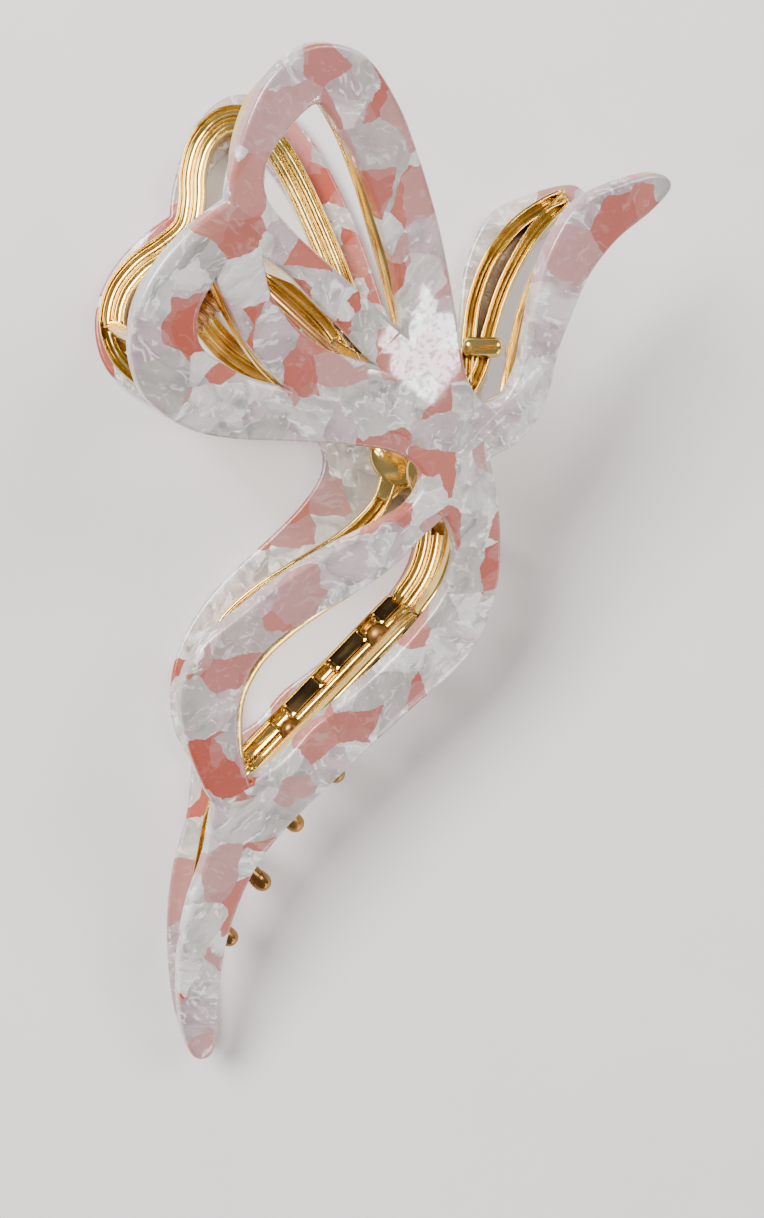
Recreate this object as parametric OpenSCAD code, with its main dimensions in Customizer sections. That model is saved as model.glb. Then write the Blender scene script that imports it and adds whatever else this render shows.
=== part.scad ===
// Hair claw clip: two mirrored jaws on a sprung hinge. Each jaw is a flat openwork
// acetate plate, shaped like a bow, glued to a cast metal frame with curved teeth.
// The rear plate lies flat on z = 0. X runs along the hinge, +Y points to the handle
// lobes, and the origin is the middle of the waist on the rear plate's outer face.

/* [Plates] */
// Thickness of each acetate plate
plate_t = 2.3; // [2:0.1:2.5]
// Angle of each plate to the plane midway between the jaws, clip closed
half_angle = 17; // [15:0.5:19]
// Distance from the waist to the line where the two inner faces would meet
apex_reach = 36.5; // [36.2:0.1:37.5]

/* [Frames] */
// Width of the cast bands
band_w = 3.4; // [2.8:0.1:3.5]
// Height of the cast bands
band_h = 2.4; // [2:0.1:2.8]
// Width of the slender rails in the short leaf and along the long leaf's back
rail_w = 2.2; // [1.8:0.1:2.4]
// Width of the straight bar that carries the teeth
bar_w = 4.2; // [4:0.1:4.6]
// Radius of the round cross-bar in the short leaf
crossbar_r = 1.3; // [1:0.1:1.4]

/* [Teeth] */
// Diameter of a tooth
tooth_d = 2.4; // [2:0.1:2.5]
// Distance along the hinge from one tooth to the next, which is on the other jaw
tooth_pitch = 8; // [7.6:0.1:8]
// How far each tooth's arc passes the middle plane
tooth_overlap = 0.3; // [0.2:0.1:0.4]
// Angle round a tooth's arc, from level, at its root
tooth_start = 35; // [30:1:38]

/* [Hinge] */
// Distance from the apex line to the hinge axis, in the middle plane
hinge_reach = 66.4; // [65.8:0.2:67]
// Place of the hinge's middle along X
hinge_x = -6; // [-6.5:0.1:-5.5]
// Radius of the hinge pin
pin_r = 1; // [0.8:0.05:1.1]
// Radial play between the pin and the front lugs
pin_play = 0.05; // [0.02:0.01:0.1]
// Radius of a lug's round end
lug_r = 2.8; // [2.5:0.1:3]
// Thickness of a lug
lug_t = 1.6; // [1.4:0.1:1.8]
// Gap between neighbours along the pin
side_gap = 0.2; // [0.1:0.05:0.3]

/* [Spring] */
// Diameter of the spring wire
wire_d = 0.95; // [0.8:0.05:1]
// Mean radius of the coil
coil_r = 2.3; // [2.1:0.1:2.4]
// Number of full turns
coil_turns = 11; // [8:1:11]

/* [Hidden] */
$fn = 48;
curve_steps = 3;

// Hinge axis, worked out from the middle plane's tilt
hinge_y = hinge_reach * cos(half_angle) - apex_reach;
hinge_h = hinge_reach * sin(half_angle);
hinge_z = plate_t + hinge_h;
coil_half = 6.4;
front_lug_in = coil_half + side_gap;
rear_lug_in = front_lug_in + lug_t + side_gap;
head_in = rear_lug_in + lug_t + side_gap / 2;
head_t = 1;
head_r = 1.8;

// The plate's outline between its three sharp inner corners
head_notch = [0, 41];
waist_corner = [3.2, -2.9];
tail_notch = [-47.8, -9];
// Upper lobe of the handle, round the crotch, and out and back along the short leaf
lobe_and_short_leaf = [
    head_notch, [2.4, 42.9], [7, 45.5], [11.5, 46.8], [16.4, 46.1], [19.9, 41.9], [19.9, 36],
    [18.3, 30.1], [15.2, 22.2], [10.6, 13.2], [7.5, 7.6], [6.7, 3.8], [7.3, 2], [9.1, 1.3],
    [12.4, 2.5], [16, 5.4], [21, 9.3], [25.6, 11.4], [29.5, 11.9], [34, 10.2], [38.1, 7.7],
    [39.2, 5.8], [38.4, 4.7], [35.1, 4.6], [30.5, 5.2], [25.8, 4.7], [21.8, 3], [17.5, 0.7],
    [13.4, -2.4], [9.8, -4], [6.6, -4.1], waist_corner];
// Toothed side of the long leaf and the tail, round its tip and back to the notch
long_leaf_and_tail = [
    waist_corner, [0.5, -8.2], [-3, -13.1], [-6.4, -16.6], [-10.7, -19.3], [-16, -20.6],
    [-21.9, -20], [-28.5, -19.4], [-35, -19], [-42, -18.6], [-48.6, -19.1], [-54.3, -21.1],
    [-59.9, -24.4], [-65.4, -29.1], [-70.3, -33.8], [-72.4, -34.6], [-73.4, -32.8],
    [-71.6, -28.9], [-68.1, -24.5], [-63.9, -20.3], [-58.8, -16.4], [-52.9, -13.1], tail_notch];
// Back of the long leaf and round to the left lobe, which differs from jaw to jaw
lobe_foot = [-8.1, 12.3];
front_leaf_back = [
    tail_notch, [-46.1, -4.3], [-44, 0], [-40.6, 4.7], [-35.4, 7.2], [-29.1, 6.6],
    [-22.6, 5.5], [-17.2, 3.9], [-11.7, 1.7], [-7.6, 0.4], [-4.5, 1.2], [-3.7, 3.6],
    [-4.8, 7.3], lobe_foot];
rear_leaf_back = [
    tail_notch, [-46.8, -5.4], [-44.4, -2], [-40.4, 1.2], [-35.5, 3.1], [-30.2, 3.9],
    [-25, 3.8], [-20, 3.5], [-15, 3.5], [-11, 4.2], [-8.6, 5.8], [-7.4, 8.6], lobe_foot];
left_lobe = [
    lobe_foot, [-12.1, 17.3], [-16.3, 22.4], [-18.9, 27], [-19.7, 32.5], [-17.6, 37],
    [-14, 40], [-9.5, 41.5], [-4.5, 41.7], head_notch];

// Openings: each side is a curve between the opening's two points
left_sliver = [
    [[-6.2, 36.2], [-9.7, 35], [-11.8, 32.4], [-11.5, 29], [-10.4, 25.3], [-8.5, 21.9]],
    [[-8.5, 21.9], [-8.5, 25], [-8.2, 29], [-7.1, 32.8], [-6.2, 36.2]]];
middle_sliver = [
    [[-1, 34.2], [-2.9, 30.8], [-3.3, 26.6], [-2.9, 23.1], [-1.7, 19.7], [0.3, 16.3]],
    [[0.3, 16.3], [0.2, 21.5], [-0.1, 26], [-0.3, 31], [-1, 34.2]]];
lobe_window = [
    [[5.1, 16.7], [4.6, 20], [4.1, 25], [3.4, 30], [3, 34.8], [3.4, 38.6], [5.6, 40.9],
     [9.2, 41.7], [12.8, 41.6], [13.5, 40.2], [13.1, 37], [12.2, 32.3], [10.7, 27.8],
     [8.5, 22.4], [5.1, 16.7]]];
window_start = [-5.1, -4.1];
window_end = [-42.9, -10.2];
window_front_top = [
    window_start, [-8.5, -3.7], [-12.9, -3.7], [-17.8, -2.7], [-22.8, -0.9], [-27.4, 0.5],
    [-32.2, 0.7], [-36.8, -1.5], [-40.4, -5.4], window_end];
window_rear_top = [
    window_start, [-8.5, -4.6], [-12.9, -5], [-17.8, -4.3], [-22.8, -2.9], [-27.4, -1.8],
    [-32.2, -1.6], [-36.8, -3.2], [-40.4, -6.4], window_end];
window_bar_side = [
    window_end, [-38.5, -11.4], [-33.5, -11.2], [-28.7, -11.9], [-23.1, -12.5],
    [-17.5, -12.5], [-12.3, -11.8], [-8.7, -10.2], [-6.3, -7.7], window_start];

// Centre lines of the frame's bands
neck = [[-7.6, -4.5], [-2.6, -4.4], [2.6, -2.5], [4.6, 3], [4.6, 9], [3.2, 15], [-4.4, 15],
        [-4.4, 9.5], [-2.6, 4.5], [-3.2, 0], [-7.6, -2.4]];
head_band = [
    [-2.2, 6], [-3.8, 9.8], [-6.2, 13.3], [-8.6, 16.1], [-11.3, 19.5], [-14.3, 23],
    [-16.4, 27], [-16.9, 32], [-15.1, 36], [-11.6, 38.3], [-7.5, 38.8], [-3.6, 38.1],
    [0, 37.9], [2.9, 39.6], [5.8, 42.2], [9.4, 44], [13.2, 43.9], [15.6, 41.2],
    [15.3, 36.6], [13.9, 31.8], [12.1, 27.2], [9.8, 21.8], [7.3, 16.4], [5, 10.8], [3, 6]];
spine_left = [[-3, 11], [-5.6, 16.5], [-7, 21.5], [-7.1, 26], [-5.9, 31.5], [-3.9, 37.5]];
spine_right = [[1.6, 11], [2.7, 17], [2.8, 22], [2.4, 27], [1.8, 32], [1.6, 38]];
leaf_band = [
    [-1.6, 0], [-4.4, -2], [-7.8, -3.6], [-12, -3.8], [-17, -3], [-22, -1.6],
    [-27, -0.5], [-32, -0.3], [-36.8, -2], [-40.6, -5.6], [-43.8, -10], [-46, -13.8]];
bar_rise = [[-16, -14.3], [-11, -13.5], [-6.8, -11.3], [-3.4, -8], [-1, -4.2], [0, 0]];
tail_band = [[-42, -14.3], [-46.2, -14.4], [-50.4, -16], [-54.4, -18.4], [-58.6, -21],
             [-62.4, -23.5]];
short_leaf_stem = [[0, 1], [5, -0.8], [10.4, -2]];
lower_rail = [[9, -2.2], [13.2, -0.9], [17.3, 1.5], [22.1, 3.9], [26.7, 5.4], [31, 6.2],
              [36.8, 6.2]];
upper_rail = [[9.4, -1.8], [12.2, 0.6], [15.3, 3.1], [19, 5.7], [24, 7.8], [29.2, 8.4],
              [33.8, 7.6], [37, 6.3]];
crossbar = [[13.4, 2.6], [17, -1.2]];
crossbar_run = crossbar[1] - crossbar[0];

// Straight tooth bar and the pockets cast into it
bar_from = -44;
bar_to = -14;
bar_y = -14.3;
pocket = [4.8, 1.8, 1.2];
pocket_y = -13.45;
pockets = 3;

// Teeth along the clip, from the waist to the tail: where each leaves the frame, and the
// angle round its arc at its tip. The first tooth is a stub
tooth_first_x = -4;
tooth_root_y = [-11, -14.2, -15, -15, -15.4, -15.5, -18.6, -23.2];
tooth_finish = [70, 88, 90, 92, 100, 108, 110, 110];
tooth_rise = 1.8;
tip_d = 1.12 * tooth_d;

// Where each lug stands on its frame, along Y, and how wide it is where its round end starts
lug_foot = [26.5, 37];
lug_neck = 1.8 * lug_r;

// The spring's legs end just above the frames, at these heights and places
leg_gap = 0.1;
leg_seat = band_h + wire_d / 2 + leg_gap;
rear_leg_y = 21.6;
front_leg_s = 50;
wire_sides = 8;
steps_per_turn = 14;

// Catmull-Rom curve through the points of one stretch
function along(a, b, c, d, t) =
    0.5 * (2 * b + (c - a) * t + (2 * a - 5 * b + 4 * c - d) * t * t
           + (3 * b - a - 3 * c + d) * t * t * t);
function curve(p) = [
    for (i = [0:len(p) - 2], k = [0:curve_steps - 1])
        along(p[max(i - 1, 0)], p[i], p[i + 1], p[min(i + 2, len(p) - 1)], k / curve_steps)];
function whole_curve(p) = concat(curve(p), [p[len(p) - 1]]);
function outline(stretches) = [for (s = stretches) each curve(s)];

// Strip of width w whose middle follows the points p
function unit(v) = v / norm(v);
function side(p, i) =
    let (d = unit(p[min(i + 1, len(p) - 1)] - p[max(i - 1, 0)])) [-d[1], d[0]];
function strip(p, w) = concat(
    [for (i = [0:len(p) - 1]) p[i] + side(p, i) * w / 2],
    [for (i = [len(p) - 1:-1:0]) p[i] - side(p, i) * w / 2]);

// Tube of radius r along points that never run parallel to X
function ring(p, i, r) =
    let (d = unit(p[min(i + 1, len(p) - 1)] - p[max(i - 1, 0)]),
         u = unit([1, 0, 0] - d * d[0]),
         v = cross(d, u))
    [for (k = [0:wire_sides - 1])
        p[i] + r * (cos(360 * k / wire_sides) * u + sin(360 * k / wire_sides) * v)];
module tube(p, r) {
    n = wire_sides;
    last = len(p) - 1;
    polyhedron(
        points = [for (i = [0:last]) each ring(p, i, r)],
        faces = concat(
            [[for (k = [0:n - 1]) k]],
            [[for (k = [n - 1:-1:0]) last * n + k]],
            [for (i = [0:last - 1], k = [0:n - 1])
                [i * n + k, (i + 1) * n + k, (i + 1) * n + (k + 1) % n, i * n + (k + 1) % n]]),
        convexity = 10);
}

// Places a rear part on the front jaw: its mirror image in the middle plane
module on_front() {
    translate([0, -apex_reach, plate_t])
        rotate([half_angle, 0, 0])
            mirror([0, 0, 1])
                rotate([-half_angle, 0, 0])
                    translate([0, apex_reach, -plate_t])
                        children();
}

// Plate with its own back edge to the long leaf and its own top edge to the leaf's window
module plate(leaf_back, window_top) {
    linear_extrude(plate_t)
        difference() {
            polygon(outline([lobe_and_short_leaf, long_leaf_and_tail, leaf_back, left_lobe]));
            polygon(outline(left_sliver));
            polygon(outline(middle_sliver));
            polygon(outline(lobe_window));
            polygon(outline([window_top, window_bar_side]));
        }
}

// The frame's flat castwork, seen from above
module castwork() {
    polygon(neck);
    for (line = [head_band, spine_left, spine_right, bar_rise, tail_band, short_leaf_stem])
        polygon(strip(whole_curve(line), band_w));
    for (line = [leaf_band, lower_rail, upper_rail])
        polygon(strip(whole_curve(line), rail_w));
    translate([bar_from, bar_y - bar_w / 2])
        square([bar_to - bar_from, bar_w]);
}

// A tooth's arc has the radius that takes it just past the middle plane
function tooth_arc_r(root_y) =
    ((root_y + apex_reach) * tan(half_angle) - tooth_rise + tooth_overlap)
    / (1 - sin(tooth_start) + cos(tooth_start) * tan(half_angle));

module tooth(x, root_y, finish) {
    r = tooth_arc_r(root_y);
    translate([x, root_y - r * cos(tooth_start), plate_t + tooth_rise - r * sin(tooth_start)])
        rotate([90, 0, 90]) {
            rotate([0, 0, tooth_start])
                rotate_extrude(angle = finish - tooth_start)
                    translate([r, 0])
                        circle(d = tooth_d);
            translate([r * cos(finish), r * sin(finish), 0])
                sphere(d = tip_d);
        }
}

// Lug standing on the frame, from x0 to x0 + lug_t, before its bore is cut
module lug(x0) {
    translate([x0, 0, plate_t])
        rotate([90, 0, 90])
            linear_extrude(lug_t) {
                polygon([[lug_foot[0], 0], [lug_foot[1], 0],
                         [hinge_y + lug_neck / 2, hinge_h], [hinge_y - lug_neck / 2, hinge_h]]);
                translate([hinge_y, hinge_h])
                    circle(lug_r);
            }
}

// One jaw's frame: lugs start lug_in from the hinge's middle, teeth start at first_tooth
module frame(lug_in, bore_r, first_tooth) {
    difference() {
        union() {
            translate([0, 0, plate_t])
                linear_extrude(band_h)
                    castwork();
            lug(hinge_x + lug_in);
            lug(hinge_x - lug_in - lug_t);
            for (i = [first_tooth:2:len(tooth_root_y) - 1])
                tooth(tooth_first_x - i * tooth_pitch, tooth_root_y[i], tooth_finish[i]);
            translate([crossbar[0][0], crossbar[0][1], plate_t + band_h])
                rotate([0, 90, atan2(crossbar_run[1], crossbar_run[0])])
                    cylinder(r = crossbar_r, h = norm(crossbar_run));
        }
        for (i = [1:pockets])
            translate([tooth_first_x - (i + 0.5) * tooth_pitch - pocket[0] / 2,
                       pocket_y - pocket[1] / 2, plate_t + band_h - pocket[2]])
                cube([pocket[0], pocket[1], pocket[2] + 1]);
        translate([hinge_x, hinge_y, hinge_z])
            rotate([0, 90, 0])
                cylinder(r = bore_r, h = 4 * head_in, center = true);
    }
}

module rear_plate() { color("mistyrose") plate(rear_leaf_back, window_rear_top); }
module front_plate() {
    color("lavenderblush") on_front() plate(front_leaf_back, window_front_top);
}
module rear_frame() { color("gold") frame(rear_lug_in, pin_r, 0); }
module front_frame() { color("goldenrod") on_front() frame(front_lug_in, pin_r + pin_play, 1); }

// Pin through all four lugs, with a flattened head at each end
module hinge_pin() {
    color("darkgoldenrod")
        translate([hinge_x, hinge_y, hinge_z])
            rotate([0, 90, 0]) {
                cylinder(r = pin_r, h = 2 * head_in + head_t, center = true);
                for (end = [-1, 1])
                    translate([0, 0, end * (head_in + head_t / 2)])
                        cylinder(r = head_r, h = head_t, center = true);
            }
}

// Coil round the pin. The first leg bears on the rear frame and the last on the front
module torsion_spring() {
    coil_len = 2 * coil_half - wire_d - 2 * side_gap;
    pitch = coil_len / coil_turns;
    // Where each leg touches its frame, as [y, z] from the hinge axis
    rear_seat = [rear_leg_y - hinge_y, plate_t + leg_seat - hinge_z];
    front_out = [front_leg_s - hinge_reach * cos(half_angle), leg_seat - hinge_h];
    front_seat = [cos(2 * half_angle) * front_out[0] + sin(2 * half_angle) * front_out[1],
                  sin(2 * half_angle) * front_out[0] - cos(2 * half_angle) * front_out[1]];
    // Angle round the coil at which a straight leg to the seat leaves it
    start = atan2(rear_seat[1], rear_seat[0]) + acos(coil_r / norm(rear_seat));
    finish = atan2(front_seat[1], front_seat[0]) - acos(coil_r / norm(front_seat));
    sweep = 360 * (coil_turns - 1) + ((finish - start) % 360 + 360) % 360;
    steps = ceil(sweep / 360 * steps_per_turn);
    x0 = -coil_len / 2;
    turns = [for (k = [0:steps])
        let (a = start + sweep * k / steps)
        [x0 + pitch * sweep / 360 * k / steps, coil_r * cos(a), coil_r * sin(a)]];
    path = concat([[x0, rear_seat[0], rear_seat[1]]], turns,
                  [[turns[steps][0], front_seat[0], front_seat[1]]]);
    color("peru")
        translate([hinge_x, hinge_y, hinge_z])
            tube(path, wire_d / 2);
}

rear_plate();
rear_frame();
front_plate();
front_frame();
hinge_pin();
torsion_spring();
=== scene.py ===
"""Looks of the hair claw clip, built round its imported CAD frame.

Each jaw is an acetate plate glued to a gold casting. The front jaw is nearly the rear one's
mirror image in the middle plane, so every shape is made on the rear jaw first, and the front
jaw's are then mirrored. Lengths are in millimetres until a mesh becomes an object. The rear
plate lies on z = 0, X runs along the hinge, and +Y points to the handle lobes.
"""

import math

import bpy
import bmesh
from mathutils import Matrix, Vector


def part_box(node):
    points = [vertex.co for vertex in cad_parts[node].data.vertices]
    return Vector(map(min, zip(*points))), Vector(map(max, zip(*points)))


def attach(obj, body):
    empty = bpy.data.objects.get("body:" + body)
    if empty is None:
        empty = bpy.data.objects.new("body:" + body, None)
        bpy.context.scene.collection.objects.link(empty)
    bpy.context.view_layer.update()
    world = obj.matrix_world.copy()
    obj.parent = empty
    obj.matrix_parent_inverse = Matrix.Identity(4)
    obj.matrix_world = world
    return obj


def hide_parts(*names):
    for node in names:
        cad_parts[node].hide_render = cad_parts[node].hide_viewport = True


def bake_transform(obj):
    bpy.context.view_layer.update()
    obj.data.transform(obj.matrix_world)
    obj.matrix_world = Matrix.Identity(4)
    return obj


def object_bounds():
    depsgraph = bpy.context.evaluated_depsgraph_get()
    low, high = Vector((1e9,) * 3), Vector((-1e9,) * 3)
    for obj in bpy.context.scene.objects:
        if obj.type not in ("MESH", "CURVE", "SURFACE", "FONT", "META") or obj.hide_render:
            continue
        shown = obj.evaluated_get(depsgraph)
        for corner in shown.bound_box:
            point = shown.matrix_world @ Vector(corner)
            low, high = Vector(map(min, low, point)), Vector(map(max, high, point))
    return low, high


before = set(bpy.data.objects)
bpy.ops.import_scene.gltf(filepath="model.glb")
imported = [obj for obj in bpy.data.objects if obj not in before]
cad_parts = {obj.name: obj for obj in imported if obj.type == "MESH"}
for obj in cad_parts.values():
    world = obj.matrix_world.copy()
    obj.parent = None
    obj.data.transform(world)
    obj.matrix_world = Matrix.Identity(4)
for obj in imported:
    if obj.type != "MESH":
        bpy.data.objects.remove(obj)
cad_low, cad_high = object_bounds()

MM = 0.001
# Gap that keeps a casting's underside off the plate it is glued to
LIFT = 0.02
# Small drops that keep the tops of crossing bands apart
TOP_DROPS = (0.02, 0.04, 0.05)

# Places and sizes read from the frame
PLATE_T = (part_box("rear_plate")[1].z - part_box("rear_plate")[0].z) / MM
PIN_LOW, PIN_HIGH = (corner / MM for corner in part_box("hinge_pin"))
HINGE = (PIN_LOW + PIN_HIGH) / 2

# Radius of the plates' polished edges
PLATE_EDGE = 0.5

# Fineness of the meshes, the distance at which points merge, and the least turns that make a
# corner in an outline and a sharp edge on a surface
OUTLINE_STEPS = 4
EDGE_STEPS = 3
DOME_STEPS = 6
BARREL_STEPS = 8
ROUND_SIDES = 20
PIN_SIDES = 24
WIRE_SIDES = 14
WELD = 0.001
CORNER_TURN = math.radians(35)
SHARP_TURN = math.radians(50)

# What keeps ends from closing to a point: a length and a share of full size for bars, a share
# of a step for domes, and a share of the squared radius for barrels
END_INSET = 0.01
LEAST_END = 0.06
DOME_START = 0.2
BARREL_END = 0.01

# Castings: the bands, the short leaf's rails and crossbar, the long leaf's back band, the neck
BAND_W = 3.5
BAND_H = 2.4
RAIL_W = 2.2
LEAF_BAND_W = 2.7
TAIL_TAPER = 0.6
CROSSBAR_R = 1.3
CROSSBAR_SQUARENESS = 7
NECK_EDGE = 0.6

# Dome at the waist, and the cores beside the front casting's right spine, dark with painted shade
BOSS_PLACE = (-2.6, -1.3)
BOSS_SIZE = (3.0, 3.9, 1.3)
BOSS_TURN = math.radians(-10)
BOSS_SINK = 0.5
CORE_X = 0.65
CORE_Y = (17.6, 19.4, 21.2)
CORE_RISE = 1.1
CORE_SIZE = (0.5, 0.9, 0.5)

# Tooth bar, with its pockets midway between the places of teeth
BAR_W = 4.2
BAR_Y = -14.3
BAR_ENDS = (-44, -14)
POCKETS = 3
POCKET_Y = -13.45
POCKET_L = 4.8
POCKET_W = 1.7
POCKET_CORNER = 0.4
POCKET_FLOOR_H = 1.12
POCKET_FLOOR_EDGE = 0.06
LAND_H = 0.62 * BAND_H
LAND_OVERLAP = 0.1

# Hinge: the pin, its heads and the lugs, whose inner faces lie REAR_LUG_IN and FRONT_LUG_IN
# from the hinge's middle
PIN_R = 1.0
PIN_PLAY = 0.05
PIN_DOME = 0.3
HEAD_R = 1.8
HEAD_T = 1.0
HEAD_DOME = 0.45
LUG_T = 1.6
LUG_R = 2.8
LUG_EDGE = 0.3
LUG_FOOT = (26.5, 37)
LUG_FOOT_H = 0.8
REAR_LUG_IN = 8.4
FRONT_LUG_IN = 6.6

# Teeth, counted from the waist to the tail: where each leaves its casting, and the angle round
# its arc at its tip, in degrees. The first one is a stub. A knob sits on each root
TOOTH_FIRST_X = -4
TOOTH_PITCH = 8
TOOTH_ROOT_Y = (-11, -14.2, -15, -15, -15.4, -15.5, -18.6, -23.2)
TOOTH_RISE = 1.8
TOOTH_R = 1.2
TOOTH_START = 35
TOOTH_FINISH = (70, 88, 90, 92, 100, 108, 110, 110)
TOOTH_PAST_MIDDLE = 0.3
TOOTH_STEPS = 22
ROOT_SWELL = 0.2
TIP_THINNING = 0.14
KNOB_R = 1.6
KNOB_PLACE = Vector((0, -0.2, 0.4))
KNOB_REACH = Vector((0, 1.75, 0.25))
KNOB_SQUARENESS = 2.4
BEAD_R = 0.98 * TOOTH_R
BEAD_REACH = 1.5
BEAD_SQUARENESS = 2.6

# Spring
SPRING_LOW, SPRING_HIGH = (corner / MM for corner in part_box("torsion_spring"))
WIRE_R = 0.475
COIL_R = 2.3
FULL_TURNS = 10
STEPS_PER_TURN = 28
LEG_STEPS = 6
LEG_GAP = 0.1
REAR_LEG_Y = 21.6
FRONT_LEG_Y = 13.5

# Sets a slab on the rear plate's inner face
ON_PLATE = Matrix.Translation((0, 0, PLATE_T + LIFT))

# Centre lines of the castings' bands and rails, in plan, and the outline of the neck
HEAD_BAND = (
    (-2.2, 6), (-3.8, 9.8), (-6.2, 13.3), (-8.6, 16.1), (-11.3, 19.5), (-14.3, 23), (-16.4, 27),
    (-16.9, 32), (-15.1, 36), (-11.6, 38.3), (-7.5, 38.8), (-3.6, 38.1), (0, 37.9), (2.9, 39.6),
    (5.8, 42.2), (9.4, 44), (13.2, 43.9), (15.6, 41.2), (15.3, 36.6), (13.9, 31.8),
    (12.1, 27.2), (9.8, 21.8), (7.3, 16.4), (5, 10.8), (3, 6))
SPINES = (
    ((-3, 11), (-5.6, 16.5), (-7, 21.5), (-7.1, 26), (-5.9, 31.5), (-3.9, 37.5)),
    ((1.6, 11), (2.7, 17), (2.8, 22), (2.4, 27), (1.8, 32), (1.6, 38)))
LEAF_BAND = (
    (-1.6, 0), (-4.4, -2), (-7.8, -3.6), (-12, -3.8), (-17, -3), (-22, -1.6), (-27, -0.5),
    (-32, -0.3), (-36.8, -2), (-40.6, -5.6), (-43.8, -10), (-46, -13.8))
BAR_RISE = ((-16, -14.3), (-11, -13.5), (-6.8, -11.3), (-3.4, -8), (-1, -4.2), (0, 0))
TAIL_BAND = ((-42, -14.3), (-46.2, -14.4), (-50.4, -16), (-54.4, -18.4), (-58.6, -21),
             (-62.4, -23.5))
STEM = ((0, 1), (5, -0.8), (10.4, -2))
LOWER_RAIL = ((9, -2.2), (13.2, -0.9), (17.3, 1.5), (22.1, 3.9), (26.7, 5.4), (31, 6.2),
              (36.8, 6.2))
UPPER_RAIL = ((9.4, -1.8), (12.2, 0.6), (15.3, 3.1), (19, 5.7), (24, 7.8), (29.2, 8.4),
              (33.8, 7.6), (37, 6.3))
CROSSBAR = ((13.4, 2.6), (17, -1.2))
NECK = (
    (-7.6, -4.5), (-2.6, -4.4), (2.6, -2.5), (4.6, 3), (4.6, 9), (3.2, 15), (-4.4, 15),
    (-4.4, 9.5), (-2.6, 4.5), (-3.2, 0), (-7.6, -2.4))

# Cross-sections of the cast bars, as (side, height). FOOT is the right half of the underside,
# and the others are tops
FOOT = ((0.6, 0), (0.8, 0.03), (0.93, 0.1), (1, 0.25))
BROAD = (
    (-0.99, 0.6), (-0.95, 0.9), (-0.86, 1), (-0.77, 0.93), (-0.68, 0.74), (-0.5, 0.66),
    (-0.3, 0.66), (-0.16, 0.72), (-0.08, 0.84), (0, 0.88), (0.08, 0.84), (0.16, 0.72),
    (0.3, 0.66), (0.5, 0.66), (0.68, 0.74), (0.77, 0.93), (0.86, 1), (0.95, 0.9), (0.99, 0.6))
SLENDER = (
    (-0.97, 0.5), (-0.85, 0.9), (-0.62, 1), (-0.4, 0.86), (-0.2, 0.5), (0.2, 0.5), (0.4, 0.86),
    (0.62, 1), (0.85, 0.9), (0.97, 0.5))
CHANNEL = (
    (-1, 0.45), (-0.92, 0.6), (-0.84, 0.5), (-0.8, 0.68), (-0.66, 0.92), (-0.43, 1), (-0.2, 0.92),
    (-0.08, 0.68), (0, 0.4), (0.76, 0.4), (0.82, 0.8), (0.9, 0.96), (1, 0.8))
LAND = ((-1, 0.8), (-0.6, 1), (0, 0.9), (0.6, 1), (1, 0.8))


# ---------------------------------------------------------------- the middle plane

def outer_face(mesh):
    """Upward normal of the plate's flat faces, and the point where the outer one meets z = 0."""
    normal = max(mesh.polygons, key=lambda face: face.area).normal.copy()
    if normal.z < 0:
        normal.negate()
    height = max(normal.dot(vertex.co) for vertex in mesh.vertices)
    return normal, Vector((0, height / normal.y / MM, 0))


REAR_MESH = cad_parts["rear_plate"].data
FRONT_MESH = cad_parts["front_plate"].data
FRONT_NORMAL, MIDDLE = outer_face(FRONT_MESH)
MIDDLE_NORMAL = (Vector((0, 0, 1)) + FRONT_NORMAL).normalized()


def mirrored(point):
    """A point's mirror image in the middle plane."""
    return point - 2 * (point - MIDDLE).dot(MIDDLE_NORMAL) * MIDDLE_NORMAL


def height_of_middle(y):
    """Height of the middle plane above the rear plate's outer face at this y."""
    return MIDDLE.z - (y - MIDDLE.y) * MIDDLE_NORMAL.y / MIDDLE_NORMAL.z


# ---------------------------------------------------------------- mesh tools

def curve(points, steps=6):
    """Catmull-Rom curve through the points."""
    knots = [Vector(p) for p in points]
    last = len(knots) - 1
    made = []
    for i in range(last):
        a, b = knots[max(i - 1, 0)], knots[i]
        c, d = knots[i + 1], knots[min(i + 2, last)]
        for k in range(steps):
            t = k / steps
            made.append(0.5 * (2 * b + (c - a) * t + (2 * a - 5 * b + 4 * c - d) * t ** 2
                               + (3 * b - a - 3 * c + d) * t ** 3))
    return made + [knots[last]]


def skin(mesh, rings):
    """Closed surface over a list of rings of points, each with the same count."""
    made = [[mesh.verts.new(point) for point in ring] for ring in rings]
    count = len(made[0])
    for ring, following in zip(made, made[1:]):
        for k in range(count):
            j = (k + 1) % count
            mesh.faces.new((ring[k], ring[j], following[j], following[k]))
    mesh.faces.new(reversed(made[0]))
    mesh.faces.new(made[-1])


def rounded_end(distance, reach):
    """Share of its full size that a bar has at this distance from its end."""
    share = min(max(distance / reach, 0), 1)
    return max(math.sqrt(1 - (1 - share) ** 2), LEAST_END)


def lengths_along(points):
    """Distance along the line at each of its points."""
    total = [0.0]
    for a, b in zip(points, points[1:]):
        total.append(total[-1] + (b - a).length)
    return total


def section(top):
    """Cross-section of a cast bar: rounded foot, straight sides, smooth top through the points."""
    left = [Vector((-side, height)) for side, height in FOOT]
    right = [Vector(corner) for corner in reversed(FOOT)]
    return left + curve(top, 3) + right


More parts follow.
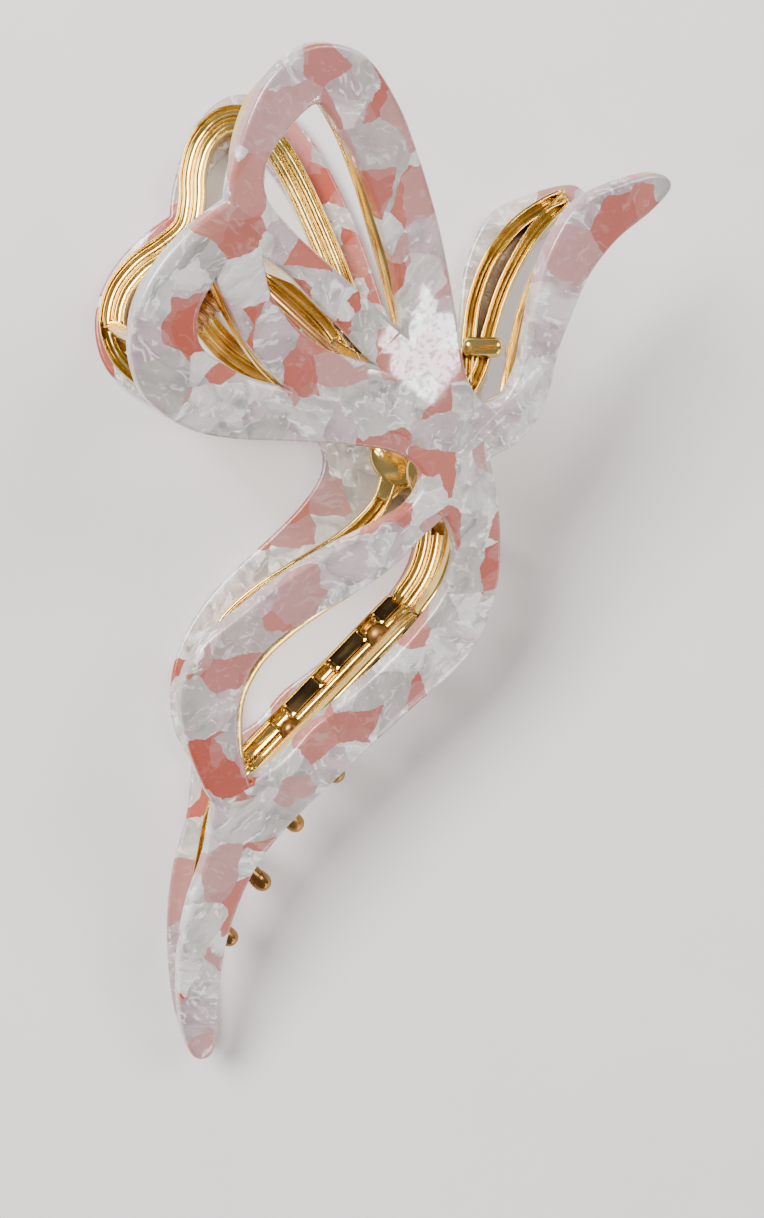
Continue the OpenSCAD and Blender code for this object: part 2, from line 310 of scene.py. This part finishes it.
def bar(mesh, line, profile, width, height, taper=1.0):
    """Bar of this cross-section along a flat line, with rounded ends, on the plate's inner face.
    Its width runs down to the share taper at its far end."""
    points = curve(line)
    along = lengths_along(points)
    last = len(points) - 1
    rings = []
    for i, point in enumerate(points):
        ahead = (points[min(i + 1, last)] - points[max(i - 1, 0)]).normalized()
        side = Vector((-ahead.y, ahead.x))
        size = rounded_end(min(along[i], along[-1] - along[i]) + END_INSET, width / 2)
        wide = width / 2 * size * (1 + (taper - 1) * along[i] / along[-1])
        rings.append([(point + side * u * wide).to_3d()
                      + Vector((0, 0, PLATE_T + LIFT + v * height * size)) for u, v in profile])
    skin(mesh, rings)


def tube(mesh, points, radii, sides):
    """Round bar along the points, with its own radius at each."""
    last = len(points) - 1
    ahead = (points[1] - points[0]).normalized()
    across = ahead.orthogonal().normalized()
    rings = []
    for i, point in enumerate(points):
        ahead = (points[min(i + 1, last)] - points[max(i - 1, 0)]).normalized()
        across = (across - ahead * across.dot(ahead)).normalized()
        up = ahead.cross(across)
        rings.append([point + radii[i] * (math.cos(a) * across + math.sin(a) * up)
                      for a in (2 * math.pi * k / sides for k in range(sides))])
    skin(mesh, rings)


def domed(start, end, radius, dome):
    """Points and radii of a straight round bar whose ends are domes of this height."""
    ahead = (end - start).normalized()
    angles = [math.pi / 2 * (k + DOME_START) / (DOME_STEPS + DOME_START)
              for k in range(DOME_STEPS + 1)]
    heads = [(dome * (1 - math.sin(a)), radius * math.sin(a)) for a in angles]
    points = [start + ahead * s for s, _ in heads] + [end - ahead * s for s, _ in reversed(heads)]
    radii = [r for _, r in heads] + [r for _, r in reversed(heads)]
    return points, radii


def barrel(mesh, middle, reach, radius, squareness):
    """Barrel about its middle, from -reach to +reach. The squarer, the blunter its ends."""
    shares = [k / BARREL_STEPS - 1 for k in range(2 * BARREL_STEPS + 1)]
    points = [middle + reach * share for share in shares]
    radii = [radius * math.sqrt(max(1 - abs(share) ** squareness, BARREL_END))
             for share in shares]
    tube(mesh, points, radii, ROUND_SIDES)


def slab(mesh, loops, thickness, edge, place):
    """Flat slab with rounded edges inside the given outlines, moved by the matrix place."""
    data = bpy.data.curves.new("outline", "CURVE")
    data.dimensions = "2D"
    data.fill_mode = "BOTH"
    data.resolution_u = OUTLINE_STEPS
    data.extrude = thickness / 2 - edge
    data.bevel_depth = edge
    data.bevel_resolution = EDGE_STEPS
    data.offset = -edge
    for loop in loops:
        add_outline(data, loop)
    outline = bpy.data.objects.new("outline", data)
    bpy.context.scene.collection.objects.link(outline)
    depsgraph = bpy.context.evaluated_depsgraph_get()
    shape = bpy.data.meshes.new_from_object(outline.evaluated_get(depsgraph))
    shape.transform(place @ Matrix.Translation((0, 0, thickness / 2)))
    mesh.from_mesh(shape)
    bpy.data.objects.remove(outline)
    bpy.data.curves.remove(data)
    bpy.data.meshes.remove(shape)
    bmesh.ops.remove_doubles(mesh, verts=mesh.verts, dist=WELD)


def add_outline(data, loop):
    """One closed smooth outline through the points, with a sharp corner wherever they turn hard."""
    spline = data.splines.new("BEZIER")
    spline.bezier_points.add(len(loop) - 1)
    spline.use_cyclic_u = True
    for i, knot in enumerate(spline.bezier_points):
        here = Vector(loop[i])
        before, after = here - Vector(loop[i - 1]), Vector(loop[(i + 1) % len(loop)]) - here
        knot.co = here.to_3d()
        handle = "VECTOR" if before.angle(after) > CORNER_TURN else "AUTO"
        knot.handle_left_type = knot.handle_right_type = handle


def flat_loops(mesh, on_front):
    """Outlines of a plate's outer face, in millimetres on the rear jaw. Holes turn the other way."""
    edges = set()
    for face in mesh.polygons:
        corners = [mesh.vertices[i].co / MM for i in face.vertices]
        if on_front:
            corners = [mirrored(corner) for corner in reversed(corners)]
        if all(abs(corner.z) < 0.01 for corner in corners):
            names = [(round(c.x, 3), round(c.y, 3)) for c in corners]
            edges.update(zip(names, names[1:] + names[:1]))
    following = {a: b for a, b in edges if (b, a) not in edges}
    loops = []
    while following:
        start = min(following)
        loop = [start]
        here = following.pop(start)
        while here != start:
            loop.append(here)
            here = following.pop(here)
        loops.append(loop[::-1])
    return loops


def piece(name, mesh, material, body, replaces, on_front=False):
    """Turns the mesh, in millimetres on the rear jaw, into an object, and puts it on its body."""
    if on_front:
        for vertex in mesh.verts:
            vertex.co = mirrored(vertex.co)
        bmesh.ops.reverse_faces(mesh, faces=mesh.faces)
    bmesh.ops.scale(mesh, vec=(MM, MM, MM), verts=mesh.verts)
    data = bpy.data.meshes.new(name)
    mesh.to_mesh(data)
    mesh.free()
    data.shade_smooth()
    data.set_sharp_from_angle(angle=SHARP_TURN)
    data.materials.append(material)
    made = bpy.data.objects.new(name, data)
    bpy.context.scene.collection.objects.link(made)
    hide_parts(*replaces)
    if body:
        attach(made, body)
    return made


# ---------------------------------------------------------------- node tools

def new_material(name):
    """Empty node material and its tree."""
    material = bpy.data.materials.new(name)
    material.use_nodes = True
    tree = material.node_tree
    tree.nodes.clear()
    return material, tree


def node(tree, kind, inputs=None, **settings):
    """Adds a node, sets its properties, and sets or links its inputs by name or number."""
    made = tree.nodes.new("ShaderNode" + kind)
    for key, value in settings.items():
        setattr(made, key, value)
    for key, value in (inputs or {}).items():
        if isinstance(value, bpy.types.NodeSocket):
            tree.links.new(value, made.inputs[key])
        else:
            made.inputs[key].default_value = value
    return made


def ramp(tree, factor, stops, interpolation="LINEAR"):
    """Colour ramp through (place, colour or grey) stops."""
    made = node(tree, "ValToRGB", {"Fac": factor})
    elements = made.color_ramp.elements
    made.color_ramp.interpolation = interpolation
    while len(elements) < len(stops):
        elements.new(1.0)
    for element, (place, value) in zip(elements, stops):
        element.position = place
        element.color = (*value, 1) if isinstance(value, tuple) else (value, value, value, 1)
    return made.outputs["Color"]


def mix(tree, factor, a, b, blend="MIX"):
    """Colour mix of a and b."""
    made = node(tree, "Mix", data_type="RGBA", blend_type=blend)
    for socket, value in ((made.inputs[0], factor), (made.inputs[6], a), (made.inputs[7], b)):
        if isinstance(value, bpy.types.NodeSocket):
            tree.links.new(value, socket)
        else:
            socket.default_value = value
    return made.outputs[2]


def maths(tree, operation, a, b):
    """One sum on two values."""
    return node(tree, "Math", {0: a, 1: b}, operation=operation).outputs[0]


def finished(tree, shader):
    """Links the shader to the material's output."""
    node(tree, "OutputMaterial", {"Surface": shader.outputs[0]})


# ---------------------------------------------------------------- materials

# Scales of the acetate's cell patterns, and how far the chips' edges wander, in metres
CHIP_SCALE = 150
SMALL_CHIP_SCALE = 215
HAZE_SCALE = 120
CHIP_WANDER = 0.0022

# Stretch of the silk inside a chip, and how far it shifts from one chip to another
SILK_STRETCH = (420, 130, 420)
SILK_SHIFT = (9, 9, 9)


def acetate():
    """Pressed acetate: pearl and coral chips under and over each other, under a polished surface.
    The pearl chips' colour carries painted sheen and painted highlight specks.
    """
    material, tree = new_material("pearl_and_coral_acetate")
    place = node(tree, "TexCoord").outputs["Object"]
    wander = node(tree, "TexNoise", {"Vector": place, "Scale": 300, "Detail": 5}).outputs["Color"]
    bent = node(tree, "VectorMath", {0: wander, 1: (CHIP_WANDER,) * 3, 2: place},
                operation="MULTIPLY_ADD")
    deep = chips(tree, bent.outputs[0], CHIP_SCALE)
    top = chips(tree, bent.outputs[0], SMALL_CHIP_SCALE)
    covers = ramp(tree, top["third"], ((0.0, 0.0), (0.45, 0.9)), "CONSTANT")
    colour = mix(tree, covers, deep["colour"], top["colour"])
    pearl = mix(tree, covers, deep["pearl"], top["pearl"])
    clear = mix(tree, covers, deep["clear"], top["clear"])
    silk = mix(tree, covers, deep["silk"], top["silk"])
    painted_glint = mix(tree, covers, deep["painted_glint"], top["painted_glint"])
    # Painted sheen: the silk streaks lighten and darken the pearl chips' colour
    painted_sheen = ramp(tree, silk, ((0.3, 0.42), (0.45, 0.7), (0.55, 0.9), (0.66, 1.0)))
    with_painted_sheen = mix(tree, pearl, colour, mix(tree, 1.0, colour, painted_sheen, "MULTIPLY"))
    hazy = mix(tree, haze(tree, bent.outputs[0]), with_painted_sheen, (0.66, 0.36, 0.38, 1))
    # Painted highlights: specks on the pearl chips are mixed towards near white in the base colour
    painted_highlight_share = maths(tree, "MULTIPLY", painted_glint, pearl)
    bright = mix(tree, painted_highlight_share, hazy, (1, 0.97, 0.94, 1))
    ripple = node(tree, "Bump", {"Height": maths(tree, "MULTIPLY", silk, pearl), "Distance": 0.0006,
                                 "Strength": 0.5})
    shader = node(tree, "BsdfPrincipled", {
        "Base Color": bright,
        "Roughness": ramp(tree, pearl, ((0.0, 0.3), (1.0, 0.42))),
        "Metallic": maths(tree, "MULTIPLY", pearl, 0.15),
        "Transmission Weight": clear,
        "Normal": ripple.outputs[0],
        "IOR": 1.49,
        "Coat Weight": scuffs(tree, place),
        "Coat Roughness": 0.03})
    finished(tree, shader)
    return material


def scuffs(tree, place):
    """Weight of the clear polish, broken up by fine specks."""
    specks = node(tree, "TexNoise", {"Vector": place, "Scale": 1700, "Detail": 3}).outputs["Fac"]
    return ramp(tree, specks, ((0.4, 0.45), (0.5, 1.0)))


def haze(tree, place):
    """Strength of the thin pink films that lie over some of the chips."""
    cells = node(tree, "TexVoronoi", {"Vector": place, "Scale": HAZE_SCALE}).outputs["Color"]
    kind = node(tree, "SeparateColor", {0: cells}).outputs[1]
    return ramp(tree, kind, ((0.0, 0.0), (0.72, 0.22)), "CONSTANT")


def chips(tree, place, scale):
    """One layer of chips: each cell's colour, how pearly and clear it is, its silk streaks, and its
    specks of painted highlight.
    """
    cells = node(tree, "TexVoronoi", {"Vector": place, "Scale": scale}).outputs["Color"]
    parts = node(tree, "SeparateColor", {0: cells})
    kind = parts.outputs[0]
    white, pale_grey, grey = (0.85, 0.80, 0.76), (0.70, 0.65, 0.61), (0.58, 0.53, 0.49)
    lilac, pink = (0.64, 0.48, 0.50), (0.62, 0.28, 0.26)
    salmon, coral = (0.55, 0.13, 0.085), (0.48, 0.075, 0.04)
    colour = ramp(tree, kind, ((0.0, white), (0.24, pale_grey), (0.43, grey), (0.55, lilac),
                               (0.66, pink), (0.75, salmon), (0.87, coral)), "CONSTANT")
    pearl = ramp(tree, kind, ((0.0, 1.0), (0.43, 0.6), (0.55, 0.8), (0.66, 0.15), (0.75, 0.05)),
                 "CONSTANT")
    clear = ramp(tree, kind, ((0.0, 0.05), (0.43, 0.25), (0.55, 0.1), (0.66, 0.25), (0.75, 0.14)),
                 "CONSTANT")
    turned = node(tree, "VectorRotate", {
        "Vector": place,
        "Axis": cells,
        "Angle": maths(tree, "MULTIPLY", parts.outputs[1], 2 * math.pi)}, rotation_type="AXIS_ANGLE")
    drawn = node(tree, "VectorMath", {0: turned.outputs[0], 1: SILK_STRETCH}, operation="MULTIPLY")
    moved = node(tree, "VectorMath", {0: cells, 1: SILK_SHIFT, 2: drawn.outputs[0]},
                 operation="MULTIPLY_ADD")
    silk = node(tree, "TexNoise", {"Vector": moved.outputs[0], "Scale": 1.0, "Detail": 3,
                                   "Distortion": 0.8}).outputs["Fac"]
    # Where this noise runs high lie the specks of painted highlight
    sparks = node(tree, "TexNoise", {"Vector": moved.outputs[0], "Scale": 2.2, "Detail": 2,
                                     "Distortion": 1.2}).outputs["Fac"]
    painted_glint = ramp(tree, sparks, ((0.56, 0.0), (0.66, 1.0)))
    return {"colour": colour, "pearl": pearl, "clear": clear, "silk": silk, "painted_glint": painted_glint,
            "third": parts.outputs[2]}


def metal(name, light, dark, roughness, waves):
    """Plated metal: slightly uneven colour, sheen and surface."""
    material, tree = new_material(name)
    place = node(tree, "TexCoord").outputs["Object"]
    patches = node(tree, "TexNoise", {"Vector": place, "Scale": 220, "Detail": 4}).outputs["Fac"]
    grain = node(tree, "TexNoise", {"Vector": place, "Scale": 1900, "Detail": 2}).outputs["Fac"]
    swell = node(tree, "TexNoise", {"Vector": place, "Scale": 420, "Detail": 1}).outputs["Fac"]
    rough = ramp(tree, patches, ((0.35, roughness), (0.7, roughness * 2)))
    height = maths(tree, "ADD", swell, maths(tree, "MULTIPLY", grain, 0.12))
    surface = node(tree, "Bump", {"Height": height, "Distance": 0.0004, "Strength": waves})
    shader = node(tree, "BsdfPrincipled", {
        "Base Color": ramp(tree, patches, ((0.3, dark), (0.65, light))),
        "Metallic": 1.0,
        "Roughness": rough,
        "Normal": surface.outputs[0]})
    finished(tree, shader)
    return material


def floor_material():
    """Plain pale matt board."""
    material, tree = new_material("pale_floor")
    place = node(tree, "TexCoord").outputs["Object"]
    tone = node(tree, "TexNoise", {"Vector": place, "Scale": 40, "Detail": 5}).outputs["Fac"]
    shader = node(tree, "BsdfPrincipled", {
        "Base Color": ramp(tree, tone, ((0.3, (0.80, 0.765, 0.75)), (0.7, (0.83, 0.80, 0.785)))),
        "Roughness": 0.75})
    finished(tree, shader)
    return material


# ---------------------------------------------------------------- the pieces

def plate(name, material, body, node_name, on_front):
    """One acetate plate, cut to the CAD plate's outline, with polished round edges."""
    mesh = bmesh.new()
    outlines = flat_loops(FRONT_MESH if on_front else REAR_MESH, on_front)
    slab(mesh, outlines, PLATE_T, PLATE_EDGE, Matrix.Identity(4))
    made = piece(name, mesh, material, body, [node_name], on_front)
    made.modifiers.new("even_normals", "WEIGHTED_NORMAL").keep_sharp = True
    return made


def tooth(mesh, index):
    """Curved tooth with a knob on its root and a bead at its tip. Its arc has the radius that
    takes it just past the middle plane."""
    root_y = TOOTH_ROOT_Y[index]
    first = math.radians(TOOTH_START)
    last = math.radians(TOOTH_FINISH[index])
    slope = -MIDDLE_NORMAL.y / MIDDLE_NORMAL.z
    gap = height_of_middle(root_y) - PLATE_T - TOOTH_RISE + TOOTH_PAST_MIDDLE
    radius = gap / (1 - math.sin(first) + math.cos(first) * slope)
    root = Vector((TOOTH_FIRST_X - index * TOOTH_PITCH, root_y, PLATE_T + TOOTH_RISE))
    centre = root - radius * Vector((0, math.cos(first), math.sin(first)))
    points, radii = [], []
    for k in range(TOOTH_STEPS + 1):
        share = k / TOOTH_STEPS
        angle = first + (last - first) * share
        points.append(centre + radius * Vector((0, math.cos(angle), math.sin(angle))))
        radii.append(TOOTH_R * (1 + ROOT_SWELL * (1 - share) ** 4 - TIP_THINNING * share))
    tube(mesh, points, radii, ROUND_SIDES)
    ahead = (points[-1] - points[-2]).normalized()
    barrel(mesh, points[-1], BEAD_REACH * ahead, BEAD_R, BEAD_SQUARENESS)
    barrel(mesh, root + KNOB_PLACE, KNOB_REACH, KNOB_R, KNOB_SQUARENESS)


def tooth_bar(mesh):
    """Straight bar: a slim back edge, a channel with raised lands, a round rail, a small bead."""
    start, end = BAR_ENDS
    middle = (start + end) / 2
    bar(mesh, ((start, BAR_Y), (middle, BAR_Y), (end, BAR_Y)), section(CHANNEL), BAR_W, BAND_H)
    reach = (TOOTH_PITCH - POCKET_L) / 2 + LAND_OVERLAP
    for k in range(1, POCKETS + 2):
        x = TOOTH_FIRST_X - k * TOOTH_PITCH
        line = [(x + share * reach, POCKET_Y) for share in (-1, -0.5, 0.5, 1)]
        bar(mesh, line, section(LAND), POCKET_W + 2 * LAND_OVERLAP, LAND_H)


def pocket_floor(mesh, x):
    """Floor, with cut corners, of the pocket that is centred on x, dark with painted shade."""
    long, wide, corner = POCKET_L / 2, POCKET_W / 2, POCKET_CORNER
    loop = [(x + long - corner, POCKET_Y - wide), (x + long, POCKET_Y - wide + corner),
            (x + long, POCKET_Y + wide - corner), (x + long - corner, POCKET_Y + wide),
            (x - long + corner, POCKET_Y + wide), (x - long, POCKET_Y + wide - corner),
            (x - long, POCKET_Y - wide + corner), (x - long + corner, POCKET_Y - wide)]
    slab(mesh, [loop], POCKET_FLOOR_H, POCKET_FLOOR_EDGE, ON_PLATE)


def ellipsoid(mesh, place, size, turn=0.0, segments=20, rings=12):
    """Ellipsoid with these half-sizes, turned about Z."""
    matrix = (Matrix.Translation(place) @ Matrix.Rotation(turn, 4, "Z")
              @ Matrix.Diagonal((*size, 1)))
    bmesh.ops.create_uvsphere(mesh, u_segments=segments, v_segments=rings, radius=1,
                              matrix=matrix)


def recesses(name, material, body, node_name, on_front):
    """Painted shade in the recesses: dark pocket floors, and on the front jaw dark cores beside a
    spine.
    """
    mesh = bmesh.new()
    if on_front:
        for y in CORE_Y:
            ellipsoid(mesh, (CORE_X, y, PLATE_T + CORE_RISE), CORE_SIZE)
    for k in range(1, POCKETS + 1):
        pocket_floor(mesh, TOOTH_FIRST_X - (k + 0.5) * TOOTH_PITCH)
    return piece(name, mesh, material, body, [node_name], on_front)


def boss(mesh):
    """Smooth dome at the waist where the bands meet."""
    place = (*BOSS_PLACE, PLATE_T + BAND_H - BOSS_SINK)
    ellipsoid(mesh, place, BOSS_SIZE, BOSS_TURN, 40, 20)


def lug(mesh, x, bore_r):
    """Upright lug that carries the pin, with softened edges and its bore."""
    middle_y, middle_z = HINGE.y, HINGE.z - PLATE_T
    round_end = [(middle_y + LUG_R * math.cos(a), middle_z + LUG_R * math.sin(a))
                 for a in (math.radians(d) for d in range(-10, 191, 20))]
    near, far = LUG_FOOT
    sides = [(near, LUG_FOOT_H), (near, 0), (far, 0), (far, LUG_FOOT_H)]
    outline = [*sides, *round_end]
    bore = [(middle_y + bore_r * math.cos(a), middle_z - bore_r * math.sin(a))
            for a in (2 * math.pi * k / 12 for k in range(12))]
    place = Matrix(((0, 0, 1, x), (1, 0, 0, 0), (0, 1, 0, PLATE_T + LIFT), (0, 0, 0, 1)))
    slab(mesh, [outline, bore], LUG_T, LUG_EDGE, place)


def casting(name, material, body, node_name, lug_in, on_front):
    """One jaw's gold casting without its teeth: ridged bands, boss, tooth bar, leaf and lugs."""
    mesh = bmesh.new()
    broad, slender = section(BROAD), section(SLENDER)
    slight, small, large = TOP_DROPS
    slab(mesh, [NECK], BAND_H - 2 * large, NECK_EDGE, ON_PLATE)
    boss(mesh)
    bore_r = PIN_R + PIN_PLAY if on_front else PIN_R
    lug(mesh, HINGE.x + lug_in, bore_r)
    lug(mesh, HINGE.x - lug_in - LUG_T, bore_r)
    bar(mesh, HEAD_BAND, broad, BAND_W, BAND_H)
    for line in SPINES:
        bar(mesh, line, broad, BAND_W, BAND_H - large)
    bar(mesh, LEAF_BAND, slender, LEAF_BAND_W, BAND_H - slight)
    bar(mesh, BAR_RISE, broad, BAND_W, BAND_H)
    bar(mesh, TAIL_BAND, broad, BAND_W, BAND_H - small, TAIL_TAPER)
    bar(mesh, STEM, broad, BAND_W, BAND_H - small)
    for line in (LOWER_RAIL, UPPER_RAIL):
        bar(mesh, line, slender, RAIL_W, BAND_H)
    start, end = (Vector((*point, PLATE_T + BAND_H)) for point in CROSSBAR)
    barrel(mesh, (start + end) / 2, (end - start) / 2, CROSSBAR_R, CROSSBAR_SQUARENESS)
    tooth_bar(mesh)
    return piece(name, mesh, material, body, [node_name], on_front)


def teeth(name, material, body, node_name, first_tooth, on_front):
    """Every other tooth, in a satin gold whose darker colour is painted shade."""
    mesh = bmesh.new()
    for index in range(first_tooth, len(TOOTH_ROOT_Y), 2):
        tooth(mesh, index)
    return piece(name, mesh, material, body, [node_name], on_front)


def hinge_pin(material):
    """Pin with domed, riveted ends."""
    mesh = bmesh.new()
    low, high = Vector((PIN_LOW.x, HINGE.y, HINGE.z)), Vector((PIN_HIGH.x, HINGE.y, HINGE.z))
    inside_head = Vector((0.6 * HEAD_T, 0, 0))
    head = Vector((HEAD_T, 0, 0))
    tube(mesh, *domed(low + inside_head, high - inside_head, PIN_R, PIN_DOME), PIN_SIDES)
    for end, inner in ((low, low + head), (high, high - head)):
        tube(mesh, *domed(end, inner, HEAD_R, HEAD_DOME), PIN_SIDES)
    return piece("riveted_hinge_pin", mesh, material, "rear_jaw", ["hinge_pin"])


def spring_path():
    """Middle line of the spring's wire: rear leg, coil round the pin, front leg."""
    seat_z = PLATE_T + BAND_H + WIRE_R + LEG_GAP
    rear_seat = Vector((0, REAR_LEG_Y, seat_z)) - HINGE
    front_seat = mirrored(Vector((0, FRONT_LEG_Y, seat_z))) - HINGE
    start = leaving_angle(rear_seat, 1)
    finish = leaving_angle(front_seat, -1)
    sweep = 2 * math.pi * FULL_TURNS + (finish - start) % (2 * math.pi)
    first_x, last_x = SPRING_LOW.x + WIRE_R - HINGE.x, SPRING_HIGH.x - WIRE_R - HINGE.x
    steps = FULL_TURNS * STEPS_PER_TURN
    coil = []
    for k in range(steps + 1):
        angle = start + sweep * k / steps
        x = first_x + (last_x - first_x) * k / steps
        coil.append(Vector((x, COIL_R * math.cos(angle), COIL_R * math.sin(angle))))
    first = Vector((coil[0].x, rear_seat.y, rear_seat.z))
    final = Vector((coil[-1].x, front_seat.y, front_seat.z))
    legs = [[a.lerp(b, t / LEG_STEPS) for t in range(LEG_STEPS)]
            for a, b in ((first, coil[0]), (final, coil[-1]))]
    return [point + HINGE for point in legs[0] + coil + legs[1][::-1]]


def leaving_angle(seat, turn):
    """Angle round the coil at which a straight leg to the seat leaves it."""
    reach = math.hypot(seat.y, seat.z)
    return math.atan2(seat.z, seat.y) + turn * math.acos(COIL_R / reach)


def torsion_spring(material):
    """Coil round the pin whose legs press on the two castings."""
    mesh = bmesh.new()
    points = spring_path()
    tube(mesh, points, [WIRE_R] * len(points), WIRE_SIDES)
    made = piece("coiled_torsion_spring", mesh, material, None, ["torsion_spring"])
    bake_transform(made)
    return made


# ---------------------------------------------------------------- studio

def studio_floor():
    """Plain pale floor under the clip, far larger than the view."""
    mesh = bmesh.new()
    bmesh.ops.create_grid(mesh, x_segments=1, y_segments=1, size=3.0)
    data = bpy.data.meshes.new("floor")
    mesh.to_mesh(data)
    mesh.free()
    data.materials.append(floor_material())
    made = bpy.data.objects.new("floor", data)
    bpy.context.scene.collection.objects.link(made)


def softbox(name, place, width, height, power, aim):
    """Flat area light at a place, in metres, turned to the aim."""
    data = bpy.data.lights.new(name, "AREA")
    data.shape = "RECTANGLE"
    data.size = width
    data.size_y = height
    data.energy = power
    made = bpy.data.objects.new(name, data)
    made.location = place
    made.rotation_mode = "QUATERNION"
    made.rotation_quaternion = (Vector(aim) - Vector(place)).to_track_quat("-Z", "Y")
    bpy.context.scene.collection.objects.link(made)
    return made


def studio_lights():
    """Soft key from the handle's side, a fill, a small lamp that glances off the front plate, and
    a low strip from the teeth's side that draws bright lines along the rounded edges."""
    aim = ((cad_low + cad_high) / 2)[:]
    softbox("key", (-0.12, 0.6, 0.75), 0.5, 0.5, 18, aim)
    softbox("fill", (0.55, -0.15, 0.6), 0.4, 0.4, 4, aim)
    softbox("glance", (0.161, -0.836, 0.451), 0.06, 0.06, 0.5, aim)
    softbox("strip", (-0.05, -0.8, 0.13), 0.6, 0.09, 1.7, aim).visible_camera = False
    world = bpy.data.worlds.new("studio")
    world.use_nodes = True
    world.node_tree.nodes["Background"].inputs["Color"].default_value = (0.95, 0.93, 0.92, 1)
    world.node_tree.nodes["Background"].inputs["Strength"].default_value = 0.3
    bpy.context.scene.world = world


def camera():
    """Camera almost straight above the clip, in metres, turned as the photograph shows it."""
    place = Vector((-0.0235, -0.0107, 0.2113))
    ahead = Vector((0.0300, -0.0112, -0.9995)).normalized()
    picture_up = Vector((0.7202, 0.6936, 0.0138))
    right = ahead.cross(picture_up).normalized()
    up = right.cross(ahead)
    data = bpy.data.cameras.new("camera")
    data.lens = 48.78
    data.sensor_width = 36
    data.clip_start = 0.01
    made = bpy.data.objects.new("camera", data)
    made.matrix_world = Matrix((right, up, -ahead)).transposed().to_4x4()
    made.location = place
    bpy.context.scene.collection.objects.link(made)
    bpy.context.scene.camera = made


def build():
    """Makes every piece, the floor, the lights and the camera."""
    sheet = acetate()
    gold = metal("polished_gold", (0.91, 0.68, 0.24), (0.68, 0.44, 0.12), 0.1, 0.12)
    # Teeth and knobs: a rougher satin gold, its colour darkened with painted shade
    satin_gold_painted_shade = metal("satin_gold_painted_shade", (0.47, 0.25, 0.075), (0.30, 0.15, 0.045), 0.24, 0.35)
    # Near-black gold for the pocket floors and cores: painted shade
    painted_shade_gold = metal("painted_shade_recess", (0.17, 0.12, 0.06), (0.07, 0.05, 0.025), 0.25, 0.4)
    copper_gold = metal("spring_gold", (0.52, 0.27, 0.11), (0.36, 0.17, 0.06), 0.2, 0.12)
    pin_gold = metal("pin_gold", (0.95, 0.68, 0.30), (0.84, 0.54, 0.20), 0.14, 0.12)
    plate("rear_acetate_plate", sheet, "rear_jaw", "rear_plate", False)
    plate("front_acetate_plate", sheet, "front_jaw", "front_plate", True)
    casting("rear_gold_casting", gold, "rear_jaw", "rear_frame", REAR_LUG_IN, False)
    casting("front_gold_casting", gold, "front_jaw", "front_frame", FRONT_LUG_IN, True)
    teeth("rear_gold_teeth", satin_gold_painted_shade, "rear_jaw", "rear_frame", 0, False)
    teeth("front_gold_teeth", satin_gold_painted_shade, "front_jaw", "front_frame", 1, True)
    recesses("rear_recesses", painted_shade_gold, "rear_jaw", "rear_frame", False)
    recesses("front_recesses", painted_shade_gold, "front_jaw", "front_frame", True)
    hinge_pin(pin_gold)
    torsion_spring(copper_gold)
    studio_floor()
    studio_lights()
    camera()


build()
